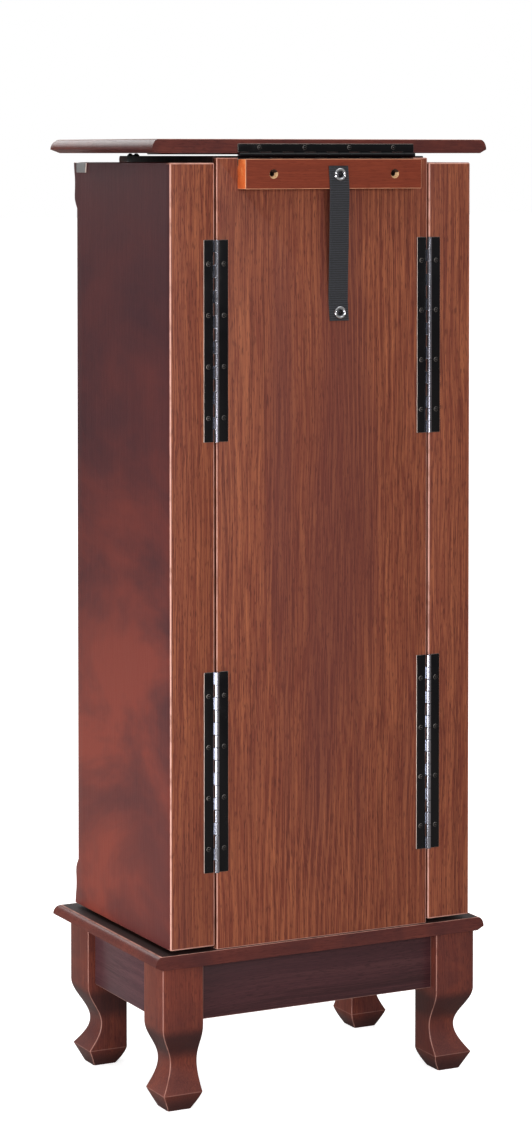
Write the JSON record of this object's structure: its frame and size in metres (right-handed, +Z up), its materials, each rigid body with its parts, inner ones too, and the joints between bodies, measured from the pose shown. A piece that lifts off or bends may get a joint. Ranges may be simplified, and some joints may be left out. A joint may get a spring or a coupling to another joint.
{
  "type": "jewelry armoire",
  "caption": "Slim wooden jewelry armoire on shaped legs, with a flip-top mirrored tray, drawers, two swing-out necklace doors and a wall-fixing cleat and strap on its back.",
  "frame": {"origin": "middle of the overall footprint, on the floor under the feet", "axes": "+Z up, -Y towards the drawer fronts, +Y towards the wall, +X to the right as seen from the front"},
  "size_m": [0.38, 0.2744, 0.965],
  "materials": {
    "mahogany": "dark cherry-mahogany stain under satin lacquer",
    "dark_mahogany": "dark mottled mahogany stain under semi-gloss lacquer",
    "walnut": "reddish walnut-grain laminate, satin",
    "stained_pine": "orange-brown stained solid wood, raw end grain",
    "black_steel": "gloss black",
    "bright_steel": "bright",
    "antique_brass": "antiqued",
    "chrome": "polished",
    "mirror": "silvered",
    "velvet": "short-pile flocking",
    "webbing": "ribbed woven webbing"
  },
  "bodies": {
    "cabinet": {"base_board": "mahogany", "leg_front_right": "mahogany", "leg_back_right": "mahogany", "apron_right": "dark_mahogany", "leg_front_left": "mahogany", "leg_back_left": "mahogany", "apron_left": "dark_mahogany", "apron_back": "dark_mahogany", "apron_front": "dark_mahogany", "back_panel": "walnut", "side_panel_right": "walnut", "side_panel_left": "walnut", "tray_front": "mahogany", "tray_floor": "velvet", "tray_dividers": "velvet", "ring_cushion": "velvet", "lid_hinge_lower_leaf": "black_steel", "lid_hinge_pin": "bright_steel", "hinge_right_upper_case_leaf": "black_steel", "hinge_right_lower_case_leaf": "black_steel", "hinge_left_upper_case_leaf": "black_steel", "hinge_left_lower_case_leaf": "black_steel", "wall_cleat": "stained_pine", "anti_tip_strap": "webbing", "strap_screw_top": "chrome", "strap_screw_bottom": "chrome"},
    "lid": {"lid_board": "mahogany", "lid_mirror": "mirror", "lid_hinge_upper_leaf": "black_steel"},
    "door_right": {"door_right_frame": "walnut", "door_right_panel": "dark_mahogany", "door_right_stile": "mahogany", "door_right_hooks": "antique_brass", "door_right_pouch": "velvet", "door_right_knob": "antique_brass", "hinge_right_upper_door_leaf": "black_steel", "hinge_right_lower_door_leaf": "black_steel"},
    "door_left": {"door_left_frame": "walnut", "door_left_panel": "dark_mahogany", "door_left_stile": "mahogany", "door_left_hooks": "antique_brass", "door_left_pouch": "velvet", "door_left_knob": "antique_brass", "hinge_left_upper_door_leaf": "black_steel", "hinge_left_lower_door_leaf": "black_steel"},
    "drawer_1": {"drawer_1_box": "walnut", "drawer_1_front": "mahogany", "drawer_1_knob": "antique_brass"},
    "drawer_2": {"drawer_2_box": "walnut", "drawer_2_front": "mahogany", "drawer_2_knob": "antique_brass"},
    "drawer_3": {"drawer_3_box": "walnut", "drawer_3_front": "mahogany", "drawer_3_knob": "antique_brass"},
    "drawer_4": {"drawer_4_box": "walnut", "drawer_4_front": "mahogany", "drawer_4_knob": "antique_brass"},
    "drawer_5": {"drawer_5_box": "walnut", "drawer_5_front": "mahogany", "drawer_5_knob": "antique_brass"}
  },
  "joints": [
    {"name": "lid_hinge", "type": "hinge", "parent": "cabinet", "child": "lid", "pos_m": [0, 0.11765, 0.9492], "axis": [-1, 0, 0], "range_deg": [0, 100]},
    {"name": "door_right_hinge", "type": "hinge", "parent": "cabinet", "child": "door_right", "pos_m": [0.121, 0.11765, 0], "axis": [0, 0, 1], "range_deg": [0, 100]},
    {"name": "door_left_hinge", "type": "hinge", "parent": "cabinet", "child": "door_left", "pos_m": [-0.121, 0.11765, 0], "axis": [0, 0, -1], "range_deg": [0, 100]},
    {"name": "drawer_1_slide", "type": "slide", "parent": "cabinet", "child": "drawer_1", "axis": [0, -1, 0], "range_m": [0, 0.15]},
    {"name": "drawer_2_slide", "type": "slide", "parent": "cabinet", "child": "drawer_2", "axis": [0, -1, 0], "range_m": [0, 0.15]},
    {"name": "drawer_3_slide", "type": "slide", "parent": "cabinet", "child": "drawer_3", "axis": [0, -1, 0], "range_m": [0, 0.15]},
    {"name": "drawer_4_slide", "type": "slide", "parent": "cabinet", "child": "drawer_4", "axis": [0, -1, 0], "range_m": [0, 0.15]},
    {"name": "drawer_5_slide", "type": "slide", "parent": "cabinet", "child": "drawer_5", "axis": [0, -1, 0], "range_m": [0, 0.15]}
  ]
}
